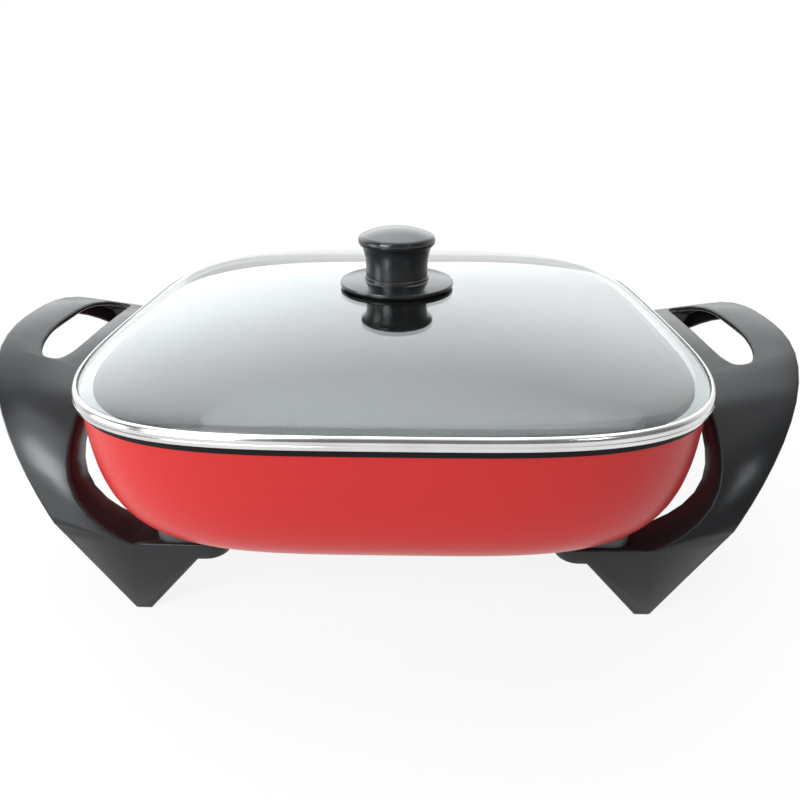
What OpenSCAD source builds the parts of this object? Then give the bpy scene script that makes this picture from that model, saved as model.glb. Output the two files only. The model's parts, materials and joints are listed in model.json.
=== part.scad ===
// Electric hot pot: a square cast pan carried by two moulded ends, each a handle
// and two legs in one, with a domed glass lid that lifts off.
// Millimetres. +X runs from handle to handle, +Z is up, the table is at Z = 0.

/* [Pan] */
// Width of the pan across its lip, the same both ways
pan_w = 316; // [290:1:340]
// Depth of the pan from its lip to its underside
pan_depth = 73; // [66:0.5:84]
// Height of the underside above the table
pan_clearance = 47.5; // [46:0.5:56]
// Squareness of the plan: 2 is a circle, higher is squarer
plan_power = 3.9; // [3.4:0.1:4.2]
// Fullness of the curve from the underside up the wall
wall_power = 2.9; // [2.4:0.1:3.2]
// How far the flat underside stays inside the wall
bottom_inset = 44; // [38:1:48]
// Thickness of the side wall
pan_wall = 5; // [4:0.5:6]
// Thickness of the floor
pan_floor = 5; // [4.5:0.5:7]
// Height of the lip
lip_h = 3.5; // [2:0.5:4]
// How far the lip stands out past the wall
lip_overhang = 0.5; // [0.25:0.25:1.5]

/* [Heater] */
// Radius of the element's loop
element_r = 85; // [78:1:92]
// Diameter of the element's tube
element_d = 7; // [6:0.5:8]
// Radius of the bends from the loop to the terminals
element_bend_r = 18; // [14:1:22]
// Distance between the two power pins
pin_spacing = 30; // [26:1:34]
// Diameter of a power pin
pin_d = 6; // [5:0.5:7]
// Length of a power pin
pin_l = 17; // [14:1:19]
// Length of a ceramic bead
bead_l = 5; // [4:0.5:7]
// Bore of the probe well
probe_bore = 6.6; // [6:0.2:7.4]
// Depth of the probe well
probe_depth = 78; // [60:1:84]
// Wall of the probe well
probe_wall = 1.2; // [0.8:0.1:1.6]

/* [Socket guard] */
// Width of the guard
guard_w = 64; // [60:1:74]
// Height of the guard
guard_h = 26; // [24:1:27]
// Depth of the guard
guard_depth = 30; // [28:1:34]
// Thickness of the guard's sheet
guard_t = 1.2; // [1:0.1:1.6]
// Corner radius of the guard
guard_r = 6; // [4:0.5:8]

/* [Handles and legs] */
// How far the handle reaches out past the lip
handle_reach = 65.5; // [58:0.5:72]
// How far the top of the handle's inner bar lies below the lip
handle_drop = 4; // [3:0.5:6]
// How far the handle rises from its inner bar to its outer edge
handle_lift = 10; // [6:0.5:14]
// Gap between the lip and the handle's inner bar
bar_gap = 4; // [3:0.5:8]
// Half the distance between the front faces of the front and back legs
leg_span = 120; // [114:1:128]
// Shape of the arch from the handle down to a leg: higher is flatter on top
arch_power = 2.8; // [2.4:0.1:3.4]
// Roundness of the arch where it stands upright above a leg: 1 has a corner there
arch_round = 1.25; // [1.1:0.05:1.5]
// Curve of the outer edge between foot and handle: 1 is straight
edge_power = 1.1; // [1:0.05:1.3]
// How far the inner edge of a leg swells out past the inner bar
leg_waist = 12; // [8:1:16]
// Height of the spacers between the lugs and the pan
spacer_h = 5.5; // [4.5:0.5:7]
// Thickness of a lug
lug_t = 9; // [8:0.5:11]
// How far the outer edge of a foot lies inside the lip
foot_inset = 22; // [18:1:26]
// Width of a foot's flat bottom
foot_w = 8; // [7:0.5:10]
// How far the place where a leg leaves its lug lies inside the lip
leg_root_inset = 27; // [24:1:30]
// How far the place where the V edge meets the lug lies inside the lip
v_root_inset = 59; // [56:1:60]
// How far the outer edge of a leg turns back from its front face
face_turn = 3; // [1:0.5:5]
// Wall of the moulding
shell_t = 3; // [2.5:0.25:4]
// Depth of the channel under the handle
channel_top = 10; // [9:0.5:14]
// Depth of the channel behind a leg
channel_leg = 22; // [21:1:28]
// Radius of the moulding's outer edges
edge_r = 2; // [1.5:0.5:3]
// Length of the finger hole
hole_l = 100; // [84:1:104]
// Width of the finger hole
hole_w = 24; // [20:0.5:26]
// Distance from the lip to the finger hole
hole_gap = 20.5; // [20:0.5:24]
// How far a leg screw lies inside the lip, along X
leg_screw_inset = 63; // [62:0.5:65]
// Shank diameter of a leg screw
leg_screw_d = 4.8; // [4:0.2:5.4]

/* [Lid] */
// How far the lid's band stands out past the pan's lip
lid_overhang = 2; // [1:0.5:3]
// Height of the steel band
rim_h = 6; // [5.9:0.05:6.3]
// Thickness of the steel band
rim_t = 0.8; // [0.6:0.1:1]
// Width of the band's lip on the glass
rim_lip = 2.25; // [2:0.25:4]
// Length of the skirt that centres the lid in the pan
skirt_l = 2.5; // [2:0.5:4]
// Thickness of the glass
glass_t = 4; // [3.8:0.05:4.15]
// Rise of the steep shoulder next to the band
shoulder_h = 3.5; // [2.5:0.5:6]
// Rise of the dome inside the shoulder
dome_h = 15; // [11:0.5:18]

/* [Knob] */
// Radius of the flange on the glass
flange_r = 33.6; // [28:0.2:35]
// Thickness of the flange
flange_t = 3; // [2.5:0.25:4]
// Height of the flange's hub
hub_h = 2.5; // [2:0.25:4]
// Radius of the neck at its foot
neck_r = 18.25; // [16:0.25:18.75]
// How much the neck flares on its way up
neck_flare = 2; // [1.4:0.2:2.2]
// Height of the neck
neck_h = 17; // [15:0.5:22]
// Radius of the cap
cap_r = 22.5; // [22:0.5:26]
// Height of the cap's rounded edge
cap_edge = 7; // [6:0.5:8]
// Rise of the cap's top
cap_rise = 4; // [3:0.5:6]
// Shank diameter of the knob's screw
knob_screw_d = 4.8; // [4:0.2:5.6]
// Radius of the brass insert
insert_r = 4.5; // [4:0.25:6]

/* [Clearances] */
// Gap between a piece and the casting or hole round it
fit_gap = 0.15; // [0.1:0.05:0.25]
// Gap between the lid and the pan's lip
seat_gap = 0.3; // [0.2:0.05:0.5]
// Gap between the lid's skirt and the pan's mouth
skirt_gap = 0.8; // [0.5:0.1:1.5]

/* [Hidden] */

$fn = 48;
// Points round a square plan, a hair of overlap, and how far a cut runs past the face that it opens
PLAN_N = 72;
EPS = 0.01;
overcut = 1;

// Pan, worked out
lip_top = pan_clearance + pan_depth;
wall_top = lip_top - lip_h;
lip_half = pan_w / 2;
wall_half = lip_half - lip_overhang;
flat_half = wall_half - bottom_inset;
mouth_half = wall_half - pan_wall;
floor_half = flat_half - pan_wall / 2;
floor_z = pan_clearance + pan_floor;

// Underside of the casting, worked out
element_sink = 0.5;
element_z = pan_clearance - element_d / 2 - element_sink;
rib_wall = 4.5;
rib_half = element_d / 2 + rib_wall;
rib_bottom = element_z - element_d / 2 - element_sink;
block_inset = 2;
block_half = guard_w / 2 - block_inset;
block_rise = 5;
block_root = 1;
block_bottom = element_z - guard_h / 2 + block_rise;
block_top = floor_z + block_root;
block_stand = 2;
block_face = wall_at(element_z + guard_h / 2) + block_stand;
probe_cover = 3;
probe_half = probe_bore / 2 + probe_wall + probe_cover;
bend_y = pin_spacing / 2 + element_bend_r;
bend_x = sqrt(pow(element_r + element_bend_r, 2) - pow(bend_y, 2));
bend_angle = atan2(bend_y, bend_x);

// Terminals, worked out along X
sheath_out = 3;
sheath_end = block_face + guard_t + sheath_out;
pin_start = sheath_end + bead_l;
well_out = 8;
well_end = block_face + guard_t + well_out;
well_tip = 2;
probe_end = well_end - probe_depth - well_tip;
pin_core_r = pin_d / 4;
bead_stand = 0.5;
bead_r = element_d / 2 + bead_stand;
guard_screw_shift = 1.5;
guard_screw_y = (pin_spacing + guard_w) / 4 + guard_screw_shift;
guard_screw_d = 3.6;
guard_screw_l = 9;
guard_head_r = 3;
guard_head_h = 2.2;
guard_hole_gap = 1.5;
strip_w = 8;
strip_t = 0.6;
strip_end_gap = 6;
strip_start = 1;
strip_base = 10;
strip_rise = 3;
strip_tip = 4;

// Mouldings, worked out
lug_top = pan_clearance - spacer_h;
lug_bottom = lug_top - lug_t;
foot_out = lip_half - foot_inset;
leg_root = lip_half - leg_root_inset;
v_root = lip_half - v_root_inset;
leg_screw_x = lip_half - leg_screw_inset;
leg_screw_y = leg_span - channel_leg / 2;
handle_top = lip_top - handle_drop;
handle_out = lip_half + handle_reach;
bar_x = lip_half + bar_gap;
hole_x = lip_half + hole_gap + hole_w / 2;
hole_wall_rise = 3;
hole_wall_z = handle_top + hole_wall_rise;
hole_power = 0.72;
lean_power = 1.5;
v_drop = 2;
shelf_t = 6;
foot_solid = 8;
spacer_r = 9;
spacer_reach = 17;
boss_root = 6;
boss_h = pan_floor + boss_root;
leg_head_h = 3;
leg_head_r = 4.6;
leg_washer_t = 1;
leg_washer_r = 5.8;
head_room = 0.5;
screw_cover = 1.5;
leg_screw_top = floor_z - screw_cover;
rib_pitch = 20;
rib_t = 2.5;
pad_half = 20;
pad_h = 6;
pad_l = 24;

// Lid, worked out
lid_half = lip_half + lid_overhang;
lid_z = lip_top + seat_gap;
skirt_half = mouth_half - skirt_gap;
glass_half = lid_half - rim_t - fit_gap;
glass_z = lid_z + rim_t + fit_gap;
dome_half = lid_half - rim_lip - fit_gap;
shoulder_power = 16;
dome_power = 2.2;
crown_margin = 2;
crown_s = (flange_r + crown_margin) / dome_half;
crown_z = glass_z + glass_t + glass_rise(crown_s);
under_z = crown_z - glass_t;
shank_r = knob_screw_d / 2;
bore_gap = 1.6;
glass_bore = shank_r + bore_gap;
gasket_r = 14;
gasket_t = 0.8;
gasket_gap = 1;
washer_r = 9;
washer_t = 1.2;
screw_head_h = 2.8;
screw_head_r = 4.8;
flange_z = crown_z + gasket_t;
hub_z = flange_z + flange_t + hub_h;
hub_step = 0.6;
hub_chamfer = 0.4;
flange_chamfer = 0.8;
flange_fall = 0.5;
flare_power = 3;
insert_end_gap = 3;
insert_l = neck_h - insert_end_gap;
screw_end_gap = 2;

// Shared shapes

// One turn of the square plan with half width a
function plan(a, z, power = plan_power) = [
    for (i = [0 : PLAN_N - 1])
        let (t = 360 * i / PLAN_N)
        let (r = a / pow(pow(abs(cos(t)), power) + pow(abs(sin(t)), power), 1 / power))
        [r * cos(t), r * sin(t), z]
];

// Closed skin through a row of rings; the row joins its own start, or is capped
module loft(rings, ring_closed = false) {
    n = len(rings[0]);
    m = len(rings);
    last = ring_closed ? m - 1 : m - 2;
    sides = [
        for (k = [0 : last], i = [0 : n - 1])
            let (a = k * n + i)
            let (b = k * n + (i + 1) % n)
            let (c = ((k + 1) % m) * n + (i + 1) % n)
            let (d = ((k + 1) % m) * n + i)
            each [[a, d, c], [a, c, b]]
    ];
    caps = ring_closed ? [] : [
        [for (i = [0 : n - 1]) i],
        [for (i = [n - 1 : -1 : 0]) (m - 1) * n + i]
    ];
    polyhedron([for (ring = rings, p = ring) p], concat(sides, caps), convexity = 8);
}

// A rod along X from x0 to x1
module rod_x(x0, x1, r) {
    translate([x0, 0, 0]) rotate([0, 90, 0]) cylinder(h = x1 - x0, r = r);
}

module ring(r_out, r_in, h) {
    difference() {
        cylinder(h = h, r = r_out);
        translate([0, 0, -overcut]) cylinder(h = h + 2 * overcut, r = r_in);
    }
}

// Rounded rectangle, w along the first axis
module rounded(w, h, r) {
    square([w - 2 * r, h], center = true);
    square([w, h - 2 * r], center = true);
    for (sx = [-1, 1], sy = [-1, 1]) translate([sx * (w / 2 - r), sy * (h / 2 - r)]) circle(r);
}

module front_and_back() {
    for (s = [-1, 1]) scale_y(s) children();
}

module scale_y(s) {
    if (s > 0) children();
    else mirror([0, 1, 0]) children();
}

// Pan

// Half width of the outer wall at height z
function wall_at(z) =
    let (u = (wall_top - z) / (wall_top - pan_clearance))
    flat_half + (wall_half - flat_half) * pow(1 - pow(u, wall_power), 1 / wall_power);

// Ring round the outside and round the inside, at angle t from lip to floor
function outer_ring(t) = plan(
    flat_half + (wall_half - flat_half) * pow(cos(t), 2 / wall_power),
    wall_top - (wall_top - pan_clearance) * pow(sin(t), 2 / wall_power));
function inner_ring(t) = plan(
    floor_half + (mouth_half - floor_half) * pow(cos(t), 2 / wall_power),
    lip_top - (lip_top - floor_z) * pow(sin(t), 2 / wall_power));

// The pan's outside as a full block, and the hollow that is taken out of it
module pan_block() {
    loft(concat(
        [for (t = [90 : -9 : 0]) outer_ring(t)],
        [plan(lip_half, wall_top), plan(lip_half, lip_top)]
    ));
}

module pan_hollow() {
    loft(concat(
        [for (t = [90 : -9 : 0]) inner_ring(t)],
        [plan(mouth_half, lip_top + overcut)]
    ));
}

// Ribs and blocks cast on the underside, and the pads that the handles' inner bars rest on
module casting_ribs() {
    root = pan_clearance + pan_floor / 2;
    translate([0, 0, rib_bottom]) ring(element_r + rib_half, element_r - rib_half, root - rib_bottom);
    translate([probe_end - probe_cover, -probe_half, block_bottom])
        cube([block_face - probe_end, 2 * probe_half, root - block_bottom]);
    translate([element_r - rib_half, -block_half, block_bottom])
        cube([block_face - element_r + rib_half, 2 * block_half, block_top - block_bottom]);
    for (side = [-1, 1]) {
        at_leg_screws(side, pan_clearance) linear_extrude(boss_h) spacer_outline(side);
        translate([side * (bar_x - pad_l / 2), 0, handle_top - edge_r - pad_h / 2])
            cube([pad_l, 2 * pad_half, pad_h], center = true);
    }
}

// Groove that opens downwards and holds the element from one terminal to the other
function groove_side(s) = [
    for (stop = ELEMENT_PATH)
        [stop[0] + s * sin(stop[2]), stop[1] - s * cos(stop[2])]
];
module element_groove() {
    half_w = element_d / 2 + fit_gap;
    near = groove_side(half_w);
    far = groove_side(-half_w);
    translate([0, 0, block_bottom - overcut])
        linear_extrude(element_z + half_w - block_bottom + overcut)
            polygon(concat(near, [for (i = [len(far) - 1 : -1 : 0]) far[i]]));
}

module pan() {
    color("firebrick") difference() {
        union() {
            pan_block();
            casting_ribs();
        }
        pan_hollow();
        element_groove();
        translate([0, 0, element_z]) {
            rod_x(probe_end - fit_gap, block_face + overcut, probe_bore / 2 + probe_wall + fit_gap);
            front_and_back() translate([0, guard_screw_y, 0]) rod_x(
                block_face - guard_screw_l - fit_gap, block_face + overcut, guard_screw_d / 2 + fit_gap);
        }
        for (side = [-1, 1]) at_leg_screws(side, pan_clearance - overcut)
            cylinder(h = leg_screw_top - pan_clearance + overcut + fit_gap, d = leg_screw_d + 2 * fit_gap);
    }
}

// Heater and socket

// Stops along the element from one terminal to the other, each a place and a heading
ELEMENT_PATH = concat(
    [[sheath_end, pin_spacing / 2, 180]],
    [
        for (i = [0 : 5])
            let (a = 270 - (90 - bend_angle) * i / 5)
            [bend_x + element_bend_r * cos(a), bend_y + element_bend_r * sin(a), a - 90]
    ],
    [
        for (i = [1 : 39])
            let (a = bend_angle + (360 - 2 * bend_angle) * i / 40)
            [element_r * cos(a), element_r * sin(a), a + 90]
    ],
    [
        for (i = [0 : 5])
            let (a = 180 - bend_angle - (90 - bend_angle) * i / 5)
            [bend_x + element_bend_r * cos(a), -bend_y + element_bend_r * sin(a), a - 90]
    ],
    [[sheath_end, -pin_spacing / 2, 0]]
);

module heating_element() {
    sides = 12;
    color("dimgray") translate([0, 0, element_z]) loft([
        for (stop = ELEMENT_PATH) [
            for (i = [0 : sides - 1])
                let (a = -360 * i / sides)
                let (side = element_d / 2 * cos(a))
                [stop[0] + side * sin(stop[2]), stop[1] - side * cos(stop[2]), element_d / 2 * sin(a)]
        ]
    ]);
}

module terminal_pins() {
    color("goldenrod") front_and_back() translate([0, pin_spacing / 2, element_z]) {
        rod_x(sheath_end, pin_start, pin_core_r);
        rod_x(pin_start, pin_start + pin_l - pin_d / 4, pin_d / 2);
        translate([pin_start + pin_l - pin_d / 4, 0, 0]) rotate([0, 90, 0])
            cylinder(h = pin_d / 4, r1 = pin_d / 2, r2 = pin_d / 4);
    }
}

module terminal_insulators() {
    color("ivory") front_and_back() translate([0, pin_spacing / 2, element_z]) difference() {
        rod_x(sheath_end, pin_start, bead_r);
        rod_x(sheath_end - overcut, pin_start + overcut, pin_core_r + fit_gap);
    }
}

module probe_well() {
    color("silver") translate([0, 0, element_z]) difference() {
        rod_x(probe_end, well_end, probe_bore / 2 + probe_wall);
        rod_x(well_end - probe_depth, well_end + overcut, probe_bore / 2);
    }
}

module socket_guard() {
    hole_r = element_d / 2 + guard_hole_gap;
    color("lightsteelblue") translate([block_face, 0, element_z]) difference() {
        rotate([90, 0, 90]) linear_extrude(guard_depth) rounded(guard_w, guard_h, guard_r);
        translate([guard_t, 0, 0]) rotate([90, 0, 90]) linear_extrude(guard_depth)
            rounded(guard_w - 2 * guard_t, guard_h - 2 * guard_t, guard_r - guard_t);
        rod_x(-overcut, guard_t + overcut, probe_bore / 2 + probe_wall + fit_gap);
        front_and_back() {
            translate([0, pin_spacing / 2, 0]) rod_x(-overcut, guard_t + overcut, hole_r);
            translate([0, guard_screw_y, 0]) rod_x(-overcut, guard_t + overcut, guard_screw_d / 2 + fit_gap);
        }
    }
}

module socket_guard_screws() {
    color("silver") front_and_back() translate([block_face, guard_screw_y, element_z]) {
        rod_x(-guard_screw_l, guard_t, guard_screw_d / 2);
        rod_x(guard_t, guard_t + guard_head_h, guard_head_r);
    }
}

module earth_spring() {
    reach = guard_depth - strip_end_gap;
    crest = reach - strip_tip;
    color("darkgoldenrod")
        translate([block_face + guard_t, strip_w / 2, element_z - guard_h / 2 + guard_t])
            rotate([90, 0, 0]) linear_extrude(strip_w) polygon([
                [strip_start, 0], [strip_base, 0], [crest, strip_rise], [reach, strip_rise / 2],
                [reach, strip_rise / 2 + strip_t], [crest, strip_rise + strip_t],
                [strip_base, strip_t], [strip_start, strip_t]
            ]);
}

// Handles and legs. One end is drawn on the +X side; the other is its mirror image.

// Height of the top skin at distance y from the middle, and the two edges at that height
function arch_z(y) =
    let (u = min(1, abs(y) / leg_span))
    lug_top + (handle_top - lug_top) * pow(1 - pow(u, arch_power), 1 / arch_round);
function edge_out(z) = foot_out + (handle_out - foot_out) * pow(z / handle_top, edge_power);
function edge_in(z) =
    let (w = (z - lug_top) / (handle_top - lug_top))
    leg_root + (leg_waist + bar_x - leg_root) * (1 - pow(1 - w, 4)) - leg_waist * w;

// Lean of the channel: straight down under the handle, level behind a leg
function lean(y) = 90 * pow(abs(y) / leg_span, lean_power);
function channel(y) = channel_top + (channel_leg - channel_top) * pow(abs(y) / leg_span, 2);

// How far the skin has risen at x, on its way from the inner edge to the outer one
function lift(x, y) =
    let (xi = edge_in(arch_z(y)))
    let (xo = edge_out(arch_z(y)))
    handle_lift * (1 - pow(y / leg_span, 2)) * (x - xi) / (xo - xi);

// Point at depth d below the top skin, at x across and y along the moulding
function under(x, y, d) =
    [x, y - sign(y) * d * sin(lean(y)), arch_z(y) + lift(x, y) - d * cos(lean(y))];

// Thickness of the skin, which is more where a leg's face turns back
function skin(y) = shell_t + face_turn * pow(abs(y) / leg_span, 4);

// Ring round the outside of the moulding, with rounded outer edges, and ring round its hollow
function outer_band(y) =
    let (xo = edge_out(arch_z(y)))
    let (xi = edge_in(arch_z(y)))
    concat(
        [under(xi, y, channel(y))],
        [for (a = [0 : 30 : 90]) under(xi + edge_r * (1 - cos(a)), y, edge_r * (1 - sin(a)))],
        [for (a = [90 : -30 : 0]) under(xo - edge_r * (1 - cos(a)), y, edge_r * (1 - sin(a)))],
        [under(xo, y, channel(y))]
    );
function hollow_band(y) =
    let (xo = edge_out(arch_z(y)) - shell_t)
    let (xi = edge_in(arch_z(y)) + shell_t)
    let (open = channel(y) + 2 * overcut)
    [under(xi, y, open), under(xi, y, skin(y)), under(xo, y, skin(y)), under(xo, y, open)];

// Stations along the moulding, closer together towards the legs
STATION_N = 16;
STATIONS = [for (i = [-STATION_N : STATION_N]) leg_span * sin(90 * i / STATION_N)];

// Front view of the part of a leg below the lug's top: foot, V edge and lug
v_slope = (foot_out - foot_w - v_root) / lug_bottom;
function v_edge(z) = foot_out - foot_w - v_slope * z;
function leg_edge(z) = foot_out + (edge_out(lug_top) - foot_out) * z / lug_top;

module leg_outline() {
    polygon([
        [edge_out(lug_top), lug_top], [foot_out, 0], [foot_out - foot_w, 0],
        [v_root, lug_bottom], [leg_screw_x, lug_bottom], [leg_screw_x, lug_top]
    ]);
}

module leg_pocket() {
    v_top = lug_bottom - v_drop;
    polygon([
        [leg_edge(lug_top) - shell_t, lug_top + EPS],
        [leg_edge(foot_solid) - shell_t, foot_solid],
        [v_edge(foot_solid) + shell_t, foot_solid],
        [v_edge(v_top) + shell_t, v_top], [v_edge(v_top) + shell_t, lug_top - shelf_t],
        [leg_root + shell_t, lug_top - shelf_t], [leg_root + shell_t, lug_top + EPS]
    ]);
}

// What is cut off a leg so that its face turns back outside a line from leg root to foot
function crease(z) = foot_out + (leg_root - foot_out) * z / lug_top;
module face_cut() {
    reach = edge_out(lug_top) - leg_root;
    loft([
        for (z = [-lug_top, 2 * lug_top]) [
            [crease(z), leg_span, z],
            [crease(z) + 3 * reach, leg_span - 3 * face_turn, z],
            [crease(z) + 3 * reach, leg_span + overcut, z]
        ]
    ]);
}

// Extrudes a front view from y0 to y1
module along_y(y0, y1) {
    translate([0, y1, 0]) rotate([90, 0, 0]) linear_extrude(y1 - y0) children();
}

// Oval of the finger hole, grown by g
module hole_oval(g) {
    half_l = hole_l / 2 + g;
    half_w = hole_w / 2 + g;
    polygon([
        for (i = [0 : 47])
            let (t = 360 * i / 48)
            [
                half_w * sign(cos(t)) * pow(abs(cos(t)), hole_power),
                half_l * sign(sin(t)) * pow(abs(sin(t)), hole_power)
            ]
    ]);
}

module moulding() {
    pocket_y = leg_span - channel_leg - 2 * overcut;
    difference() {
        union() {
            loft([for (y = STATIONS) outer_band(y)]);
            front_and_back() {
                along_y(leg_span - channel_leg, leg_span) leg_outline();
                translate([leg_screw_x, leg_screw_y, lug_bottom]) cylinder(h = lug_t, d = channel_leg);
            }
        }
        front_and_back() face_cut();
        difference() {
            union() {
                loft([for (y = STATIONS) hollow_band(y)]);
                front_and_back() along_y(pocket_y, leg_span - shell_t - face_turn) leg_pocket();
            }
            translate([hole_x, 0, hole_wall_z]) linear_extrude(handle_top) hole_oval(shell_t);
            for (y = [hole_l / 2 + rib_pitch, hole_l / 2 + 2 * rib_pitch]) front_and_back()
                translate([bar_x, y, 0]) cube([handle_reach, rib_t, 2 * handle_top]);
        }
        translate([hole_x, 0, 0]) linear_extrude(2 * handle_top) hole_oval(0);
        front_and_back() translate([leg_screw_x, leg_screw_y, 0]) {
            cylinder(h = lug_top + overcut, d = leg_screw_d + 2 * fit_gap);
            cylinder(h = lug_top - shelf_t, r = leg_washer_r + head_room);
        }
    }
}

module left_handle() {
    color("#2b2b2d") mirror([1, 0, 0]) moulding();
}

module right_handle() {
    color("#2b2b2d") moulding();
}

// Places its children at the two leg screws of one side
module at_leg_screws(side, z) {
    front_and_back() translate([side * leg_screw_x, leg_screw_y, z]) children();
}

// Plan of a spacer: round at the screw, drawn out towards the leg
module spacer_outline(side) {
    circle(spacer_r);
    translate([side * spacer_reach, 0]) circle(spacer_r);
    translate([side * spacer_reach / 2, 0]) square([spacer_reach, 2 * spacer_r], center = true);
}

module leg_spacers(side) {
    color("gray") at_leg_screws(side, lug_top) linear_extrude(spacer_h) difference() {
        spacer_outline(side);
        circle(d = leg_screw_d + 2 * fit_gap);
    }
}

module leg_washers(side) {
    color("silver") at_leg_screws(side, lug_top - shelf_t - leg_washer_t)
        ring(leg_washer_r, leg_screw_d / 2 + fit_gap, leg_washer_t);
}

module leg_screws(side) {
    head_z = lug_top - shelf_t - leg_washer_t - leg_head_h;
    color("silver") at_leg_screws(side, head_z) {
        cylinder(h = leg_head_h, r = leg_head_r);
        cylinder(h = leg_screw_top - head_z, d = leg_screw_d);
    }
}

module left_leg_spacers() { leg_spacers(-1); }
module right_leg_spacers() { leg_spacers(1); }
module left_leg_washers() { leg_washers(-1); }
module right_leg_washers() { leg_washers(1); }
module left_leg_screws() { leg_screws(-1); }
module right_leg_screws() { leg_screws(1); }

// Lid

// The band's section, as half width and height, folded round the edge of the glass
module lid_rim() {
    top = lid_z + rim_h;
    section = [
        [lid_half, lid_z], [lid_half, top], [lid_half - rim_lip, top],
        [lid_half - rim_lip, top - rim_t], [lid_half - rim_t, top - rim_t],
        [lid_half - rim_t, lid_z + rim_t], [skirt_half - rim_t, lid_z + rim_t],
        [skirt_half - rim_t, lid_z - skirt_l], [skirt_half, lid_z - skirt_l], [skirt_half, lid_z]
    ];
    color("gainsboro") loft([for (p = section) plan(p[0], p[1])], ring_closed = true);
}

// Rise of the glass above its edge at a share s of the half width inside the band's lip
function glass_rise(s) =
    shoulder_h * (1 - pow(s, shoulder_power)) + dome_h * (1 - pow(s, dome_power));
function glass_ring(s, z) = plan(dome_half * s, z + glass_rise(s), 2 + (plan_power - 2) * s);

module lid_glass() {
    shares = [crown_s, 0.4, 0.55, 0.68, 0.78, 0.86, 0.92, 0.965, 1];
    count = len(shares);
    color("lightcyan", 0.5) difference() {
        loft(concat(
            [for (i = [0 : count - 1]) glass_ring(shares[i], glass_z)],
            [plan(glass_half, glass_z), plan(glass_half, glass_z + glass_t)],
            [for (i = [count - 1 : -1 : 0]) glass_ring(shares[i], glass_z + glass_t)]
        ));
        translate([0, 0, under_z - overcut]) cylinder(h = glass_t + 2 * overcut, r = glass_bore);
    }
}

module knob_upper_gasket() {
    color("white") translate([0, 0, crown_z]) ring(gasket_r, shank_r + gasket_gap, gasket_t);
}

module knob_lower_gasket() {
    color("white") translate([0, 0, under_z - gasket_t]) ring(gasket_r, shank_r + gasket_gap, gasket_t);
}

module knob_washer() {
    color("silver") translate([0, 0, under_z - gasket_t - washer_t])
        ring(washer_r, shank_r + fit_gap, washer_t);
}

module knob_screw() {
    head_z = under_z - gasket_t - washer_t - screw_head_h;
    color("silver") translate([0, 0, head_z]) {
        cylinder(h = screw_head_h, r = screw_head_r);
        cylinder(h = hub_z + insert_l - screw_end_gap - head_z, r = shank_r);
    }
}

module knob_insert() {
    color("goldenrod") translate([0, 0, hub_z]) ring(insert_r, shank_r + fit_gap, insert_l);
}

module knob_flange() {
    hub_r = neck_r + hub_step;
    bore = shank_r + fit_gap;
    top = flange_t + hub_h;
    color("#262628") translate([0, 0, flange_z]) rotate_extrude() polygon([
        [bore, 0], [flange_r - flange_chamfer, 0], [flange_r, flange_chamfer],
        [flange_r, flange_t - flange_fall - flange_chamfer],
        [flange_r - flange_chamfer, flange_t - flange_fall],
        [hub_r, flange_t], [hub_r, top - hub_chamfer], [hub_r - hub_chamfer, top], [bore, top]
    ]);
}

module knob() {
    bore = insert_r + fit_gap;
    round_r = cap_edge / 2;
    edge_x = cap_r - round_r;
    edge_z = neck_h + round_r;
    top_x = edge_x + round_r * cos(75);
    top_z = edge_z + round_r * sin(75);
    color("#262628") translate([0, 0, hub_z]) rotate_extrude() polygon(concat(
        [[bore, 0]],
        [for (t = [0 : 0.125 : 1]) [neck_r + neck_flare * pow(t, flare_power), neck_h * t]],
        [for (a = [-60 : 15 : 75]) [edge_x + round_r * cos(a), edge_z + round_r * sin(a)]],
        [for (t = [0.125 : 0.125 : 1]) [top_x * (1 - t), top_z + cap_rise * (1 - pow(1 - t, 2.2))]],
        [[0, insert_l + fit_gap], [bore, insert_l + fit_gap]]
    ));
}

pan();
heating_element();
terminal_pins();
terminal_insulators();
probe_well();
socket_guard();
socket_guard_screws();
earth_spring();
left_handle();
right_handle();
left_leg_spacers();
right_leg_spacers();
left_leg_washers();
right_leg_washers();
left_leg_screws();
right_leg_screws();
lid_rim();
lid_glass();
knob_upper_gasket();
knob_lower_gasket();
knob_washer();
knob_screw();
knob_insert();
knob_flange();
knob();
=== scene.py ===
"""Looks of the electric hot pot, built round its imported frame."""

import json
import math

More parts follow.
